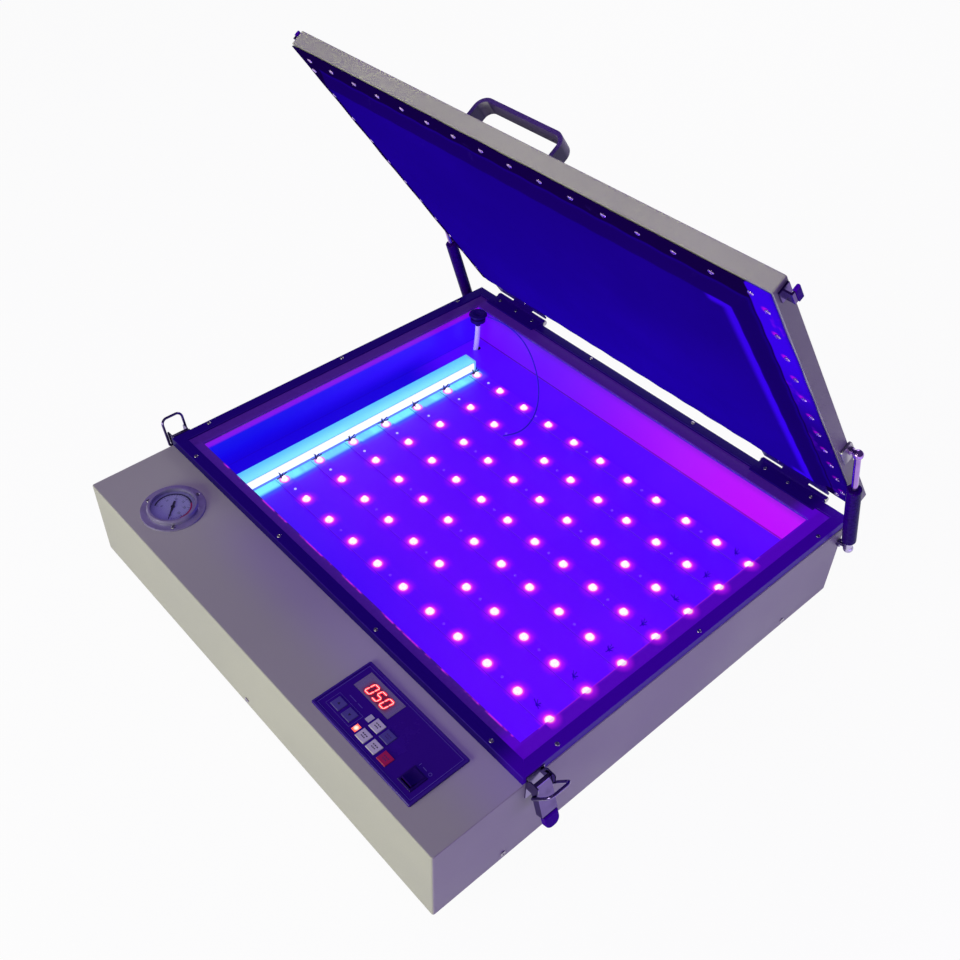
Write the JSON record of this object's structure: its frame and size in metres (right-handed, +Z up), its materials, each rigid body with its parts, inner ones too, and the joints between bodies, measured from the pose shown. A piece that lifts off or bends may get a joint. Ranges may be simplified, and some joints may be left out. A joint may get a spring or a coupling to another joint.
{
  "type": "screen printing exposure unit",
  "caption": "Tabletop vacuum exposure unit: shallow steel case with an LED lamp chamber under glass, hinged rubber blanket lid on gas struts, toggle latches, vacuum gauge and key panel.",
  "frame": {"origin": "on the surface that the feet stand on, below the middle of the open unit's outline, 8 mm behind the middle of the case", "axes": "+X along the front edge to the right, +Y to the hinges at the rear, +Z up"},
  "size_m": [0.7719, 0.7199, 0.6389],
  "materials": {
    "bezel": "polished bezel",
    "black_plastic": "black moulded plastic",
    "blanket": "thin black natural rubber sheet",
    "board": "white solder mask board",
    "chamber": "white reflective paint",
    "chrome": "bright chrome plate",
    "coat": "warm light grey powder coat, fine texture",
    "cord": "black rubber cord",
    "dial": "printed white dial",
    "diffuser": "milky diffuser",
    "frame_black": "black satin powder coat",
    "galvanised": "galvanised sheet",
    "glass": "clear float glass",
    "handle_grey": "dark grey die-cast handle",
    "hose": "translucent silicone tube",
    "key_grey": "grey key",
    "key_red": "red key",
    "key_white": "white key",
    "lamp_body": "white plastic batten",
    "led": "clear silicone LED lens",
    "lens": "clear indicator lens",
    "needle": "black pointer",
    "panel": "dark glossy overlay with a raised rim",
    "pcb": "green circuit board",
    "pump": "grey painted casting",
    "rubber": "black rubber",
    "seal": "dark grey rubber channel",
    "strut_black": "black painted gas cylinder",
    "supply": "perforated aluminium case",
    "window": "grey filter window with red digits behind",
    "zinc": "zinc plated steel"
  },
  "bodies": {
    "base": {"base_shell": "coat", "bottom_plate": "galvanised", "rubber_feet": "rubber", "case_screws": "zinc", "glass_frame": "frame_black", "glass_plate": "glass", "glass_seal": "seal", "lamp_chamber": "chamber", "led_boards": "board", "led_emitters": "led", "work_lamp_housing": "lamp_body", "work_lamp_diffuser": "diffuser", "suction_port": "black_plastic", "vacuum_hoses": "hose", "bleeder_cord": "cord", "vacuum_pump": "pump", "power_supply": "supply", "mains_inlet": "black_plastic", "fan_frame": "black_plastic", "gauge_case": "bezel", "gauge_dial": "dial", "gauge_lens": "glass", "pan_head_screws": "zinc", "control_panel": "panel", "display_window": "window", "control_board": "pcb", "indicator_lenses": "lens", "power_switch_body": "black_plastic", "frame_hinge_leaves": "frame_black", "hinge_pins": "zinc", "strut_studs": "chrome", "latch_bases": "chrome"},
    "lid": {"lid_shell": "coat", "rubber_blanket": "blanket", "lid_screws": "zinc", "lid_handle": "handle_grey", "lid_hinge_leaves": "frame_black", "lid_strut_brackets": "zinc", "lid_keepers": "chrome", "keeper_caps": "black_plastic"},
    "strut_cylinder_left": {"strut_cylinder_left": "strut_black"},
    "strut_cylinder_right": {"strut_cylinder_right": "strut_black"},
    "strut_rod_left": {"strut_rod_left": "chrome"},
    "strut_rod_right": {"strut_rod_right": "chrome"},
    "latch_lever_left": {"latch_lever_left": "chrome", "latch_grip_left": "black_plastic"},
    "latch_lever_right": {"latch_lever_right": "chrome", "latch_grip_right": "black_plastic"},
    "latch_bail_left": {"latch_bail_left": "chrome"},
    "latch_bail_right": {"latch_bail_right": "chrome"},
    "gauge_needle": {"gauge_needle": "needle"},
    "power_switch_rocker": {"power_switch_rocker": "black_plastic"},
    "fan_rotor": {"fan_rotor": "black_plastic"},
    "key_up": {"key_up": "key_grey"},
    "key_down": {"key_down": "key_grey"},
    "key_vacuum": {"key_vacuum": "key_white"},
    "key_expose": {"key_expose": "key_white"},
    "key_set": {"key_set": "key_grey"},
    "key_start": {"key_start": "key_white"},
    "key_stop": {"key_stop": "key_red"}
  },
  "joints": [
    {"name": "lid_hinge", "type": "hinge", "parent": "base", "child": "lid", "pos_m": [0, 0.347, 0.139], "axis": [1, 0, 0], "range_deg": [0, 55]},
    {"name": "strut_pivot_left", "type": "hinge", "parent": "base", "child": "strut_cylinder_left", "pos_m": [-0.365, 0.3321, 0.1023], "axis": [1, 0, 0], "range_deg": [0, 50.42]},
    {"name": "strut_slide_left", "type": "slide", "parent": "strut_cylinder_left", "child": "strut_rod_left", "axis": [0, 0.3068, -0.9518], "range_m": [0, 0.03323]},
    {"name": "strut_pivot_right", "type": "hinge", "parent": "base", "child": "strut_cylinder_right", "pos_m": [0.365, 0.3321, 0.1023], "axis": [1, 0, 0], "range_deg": [0, 50.42]},
    {"name": "strut_slide_right", "type": "slide", "parent": "strut_cylinder_right", "child": "strut_rod_right", "axis": [0, 0.3068, -0.9518], "range_m": [0, 0.03323]},
    {"name": "latch_lever_left", "type": "hinge", "parent": "base", "child": "latch_lever_left", "pos_m": [-0.3585, -0.216, 0.128], "axis": [0, 1, 0], "range_deg": [-18, 45]},
    {"name": "latch_bail_left", "type": "hinge", "parent": "latch_lever_left", "child": "latch_bail_left", "pos_m": [-0.3626, -0.216, 0.11567], "axis": [0, -1, 0], "range_deg": [-35, 65]},
    {"name": "latch_lever_right", "type": "hinge", "parent": "base", "child": "latch_lever_right", "pos_m": [0.3585, -0.216, 0.128], "axis": [0, -1, 0], "range_deg": [-18, 45]},
    {"name": "latch_bail_right", "type": "hinge", "parent": "latch_lever_right", "child": "latch_bail_right", "pos_m": [0.3626, -0.216, 0.11567], "axis": [0, 1, 0], "range_deg": [-55, 45]},
    {"name": "gauge_needle", "type": "hinge", "parent": "base", "child": "gauge_needle", "pos_m": [-0.24, -0.296, 0.1298], "axis": [0, 0, 1], "range_deg": [0, 270]},
    {"name": "power_switch", "type": "hinge", "parent": "base", "child": "power_switch_rocker", "pos_m": [0.27, -0.3136, 0.1275], "axis": [1, 0, 0], "range_deg": [0, 22]},
    {"name": "key_up", "type": "slide", "parent": "base", "child": "key_up", "axis": [0, 0, -1], "range_m": [0, 0.0008], "stiffness_N_per_m": 300, "springref_m": -0.0005},
    {"name": "key_down", "type": "slide", "parent": "base", "child": "key_down", "axis": [0, 0, -1], "range_m": [0, 0.0008], "stiffness_N_per_m": 300, "springref_m": -0.0005},
    {"name": "key_vacuum", "type": "slide", "parent": "base", "child": "key_vacuum", "axis": [0, 0, -1], "range_m": [0, 0.0008], "stiffness_N_per_m": 300, "springref_m": -0.0005},
    {"name": "key_expose", "type": "slide", "parent": "base", "child": "key_expose", "axis": [0, 0, -1], "range_m": [0, 0.0008], "stiffness_N_per_m": 300, "springref_m": -0.0005},
    {"name": "key_set", "type": "slide", "parent": "base", "child": "key_set", "axis": [0, 0, -1], "range_m": [0, 0.0008], "stiffness_N_per_m": 300, "springref_m": -0.0005},
    {"name": "key_start", "type": "slide", "parent": "base", "child": "key_start", "axis": [0, 0, -1], "range_m": [0, 0.0008], "stiffness_N_per_m": 300, "springref_m": -0.0005},
    {"name": "key_stop", "type": "slide", "parent": "base", "child": "key_stop", "axis": [0, 0, -1], "range_m": [0, 0.0008], "stiffness_N_per_m": 300, "springref_m": -0.0005},
    {"name": "fan_spin", "type": "hinge", "parent": "base", "child": "fan_rotor", "pos_m": [0, 0.3175, 0.068], "axis": [0, 1, 0], "continuous": true}
  ],
  "couplings": [
    {"joint": "strut_pivot_left", "follows": "lid_hinge", "ratio": 0.91661},
    {"joint": "strut_slide_left", "follows": "lid_hinge", "m_per_rad": 0.03461},
    {"joint": "strut_pivot_right", "follows": "lid_hinge", "ratio": 0.91661},
    {"joint": "strut_slide_right", "follows": "lid_hinge", "m_per_rad": 0.03461}
  ]
}
